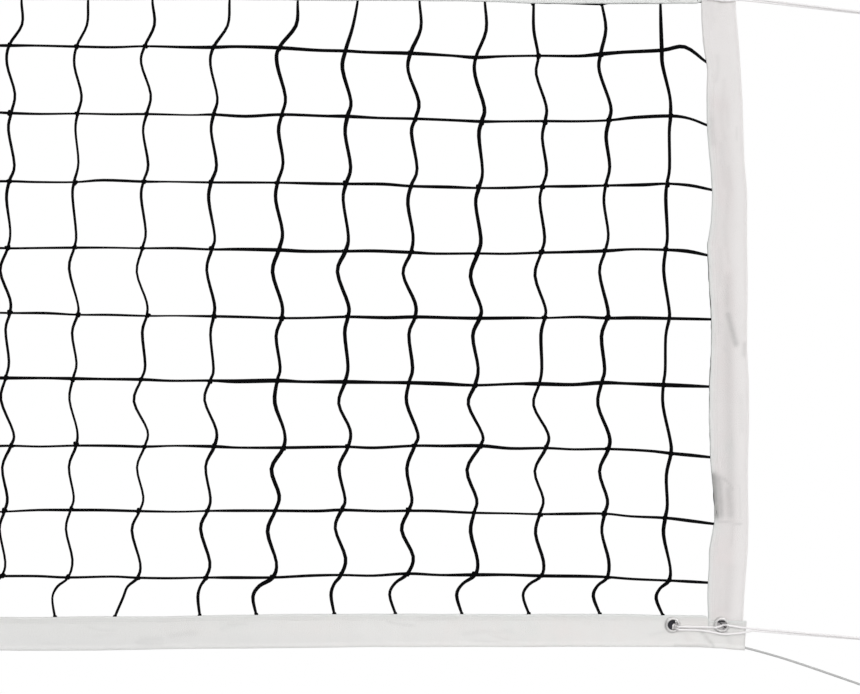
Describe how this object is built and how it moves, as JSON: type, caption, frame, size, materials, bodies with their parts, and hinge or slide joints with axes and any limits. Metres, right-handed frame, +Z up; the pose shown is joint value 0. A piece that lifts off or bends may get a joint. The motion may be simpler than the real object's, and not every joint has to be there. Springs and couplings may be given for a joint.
{
  "type": "volleyball net on poles",
  "caption": "Volleyball net with canvas bands, hung on cords between two free-standing telescopic posts with clamp levers, wheels and a geared winch.",
  "frame": {"origin": "on the floor, midway between the posts and under the net", "axes": "+X along the net towards the post with the winch, +Y across the net, +Z up"},
  "size_m": [11.4, 0.7, 2.564],
  "materials": {
    "netting_twine": "matt knotted twine",
    "band_canvas": "matt woven canvas, folded and stitched",
    "eyelet_metal": "rolled, slightly dull",
    "headline_cord": "braided cord",
    "bottom_cord": "thin braided cord",
    "tie_cord": "braided cord",
    "base_paint": "textured powder coat",
    "tube_paint": "satin powder coat",
    "mast_aluminium": "anodised, drawn lengthwise",
    "winch_paint": "satin powder coat",
    "zinc_steel": "zinc plated",
    "sheave_plastic": "moulded nylon",
    "guide_plastic": "moulded, fine grain",
    "pad_rubber": "matt",
    "wheel_rubber": "matt",
    "grip_rubber": "matt, lightly ribbed"
  },
  "bodies": {
    "root": {"left_base": "base_paint", "left_floor_pads": "pad_rubber", "left_base_bolts": "zinc_steel", "left_post_tube": "tube_paint", "left_upper_guide": "guide_plastic", "left_clamp_collar": "base_paint", "left_clamp_bolt": "zinc_steel", "left_wheel_bracket": "base_paint", "left_wheel_axle": "zinc_steel", "right_base": "base_paint", "right_floor_pads": "pad_rubber", "right_base_bolts": "zinc_steel", "right_post_tube": "tube_paint", "right_upper_guide": "guide_plastic", "right_clamp_collar": "base_paint", "right_clamp_bolt": "zinc_steel", "right_wheel_bracket": "base_paint", "right_wheel_axle": "zinc_steel"},
    "left_mast": {"left_mast": "mast_aluminium", "left_lower_guide": "guide_plastic", "left_mast_cap": "guide_plastic", "left_line_hooks": "zinc_steel", "netting": "netting_twine", "top_band": "band_canvas", "bottom_band": "band_canvas", "left_side_band": "band_canvas", "right_side_band": "band_canvas", "eyelets": "eyelet_metal", "headline": "headline_cord", "bottom_line": "bottom_cord", "left_corner_ties": "tie_cord", "right_corner_ties": "tie_cord"},
    "right_mast": {"right_mast": "mast_aluminium", "right_lower_guide": "guide_plastic", "right_mast_cap": "guide_plastic", "right_line_hooks": "zinc_steel", "sheave_axle": "zinc_steel", "winch_saddle": "winch_paint", "winch_frame": "zinc_steel", "winch_bolts": "zinc_steel", "drum_axle": "zinc_steel", "pawl_pin": "zinc_steel"},
    "left_lever": {"left_clamp_lever": "guide_plastic"},
    "right_lever": {"right_clamp_lever": "guide_plastic"},
    "left_front_wheel": {"left_front_wheel": "wheel_rubber"},
    "left_back_wheel": {"left_back_wheel": "wheel_rubber"},
    "right_front_wheel": {"right_front_wheel": "wheel_rubber"},
    "right_back_wheel": {"right_back_wheel": "wheel_rubber"},
    "head_sheave": {"head_sheave": "sheave_plastic"},
    "drum": {"winch_drum": "zinc_steel", "drum_gear": "zinc_steel", "drum_winding": "headline_cord"},
    "crank": {"crank_shaft": "zinc_steel", "ratchet_wheel": "zinc_steel", "crank_arm": "winch_paint"},
    "crank_grip": {"crank_grip": "grip_rubber"},
    "pawl": {"pawl": "zinc_steel"}
  },
  "joints": [
    {"name": "left_mast_slide", "type": "slide", "parent": "root", "child": "left_mast", "axis": [0, 0, 1], "range_m": [-0.19, 0.12]},
    {"name": "right_mast_slide", "type": "slide", "parent": "root", "child": "right_mast", "axis": [0, 0, 1], "range_m": [-0.19, 0.12]},
    {"name": "left_lever_swing", "type": "hinge", "parent": "root", "child": "left_lever", "pos_m": [-5.312, -0.0262, 0.955], "axis": [0, 0, -1], "range_deg": [0, 110]},
    {"name": "right_lever_swing", "type": "hinge", "parent": "root", "child": "right_lever", "pos_m": [5.312, -0.0262, 0.955], "axis": [0, 0, 1], "range_deg": [0, 110]},
    {"name": "left_front_wheel_spin", "type": "hinge", "parent": "root", "child": "left_front_wheel", "pos_m": [-5.65, 0, 0.056], "axis": [0, 1, 0], "continuous": true},
    {"name": "left_back_wheel_spin", "type": "hinge", "parent": "root", "child": "left_back_wheel", "pos_m": [-5.65, 0, 0.056], "axis": [0, 1, 0], "continuous": true},
    {"name": "right_front_wheel_spin", "type": "hinge", "parent": "root", "child": "right_front_wheel", "pos_m": [5.65, 0, 0.056], "axis": [0, 1, 0], "continuous": true},
    {"name": "right_back_wheel_spin", "type": "hinge", "parent": "root", "child": "right_back_wheel", "pos_m": [5.65, 0, 0.056], "axis": [0, 1, 0], "continuous": true},
    {"name": "sheave_spin", "type": "hinge", "parent": "right_mast", "child": "head_sheave", "pos_m": [5.25, 0, 2.387], "axis": [0, 1, 0], "continuous": true},
    {"name": "drum_spin", "type": "hinge", "parent": "right_mast", "child": "drum", "pos_m": [5.3517, 0, 1.48], "axis": [0, 1, 0], "continuous": true},
    {"name": "crank_spin", "type": "hinge", "parent": "right_mast", "child": "crank", "pos_m": [5.3517, 0, 1.42], "axis": [0, 1, 0], "continuous": true},
    {"name": "grip_spin", "type": "hinge", "parent": "crank", "child": "crank_grip", "pos_m": [5.3517, -0.115, 1.24], "axis": [0, 1, 0], "continuous": true},
    {"name": "pawl_lift", "type": "hinge", "parent": "right_mast", "child": "pawl", "pos_m": [5.3411, 0, 1.44913], "axis": [0, -1, 0], "range_deg": [-12, 13]}
  ],
  "couplings": [
    {"joint": "right_mast_slide", "follows": "left_mast_slide", "ratio": 1},
    {"joint": "crank_spin", "follows": "drum_spin", "ratio": -4},
    {"joint": "sheave_spin", "follows": "drum_spin", "ratio": -0.6}
  ]
}
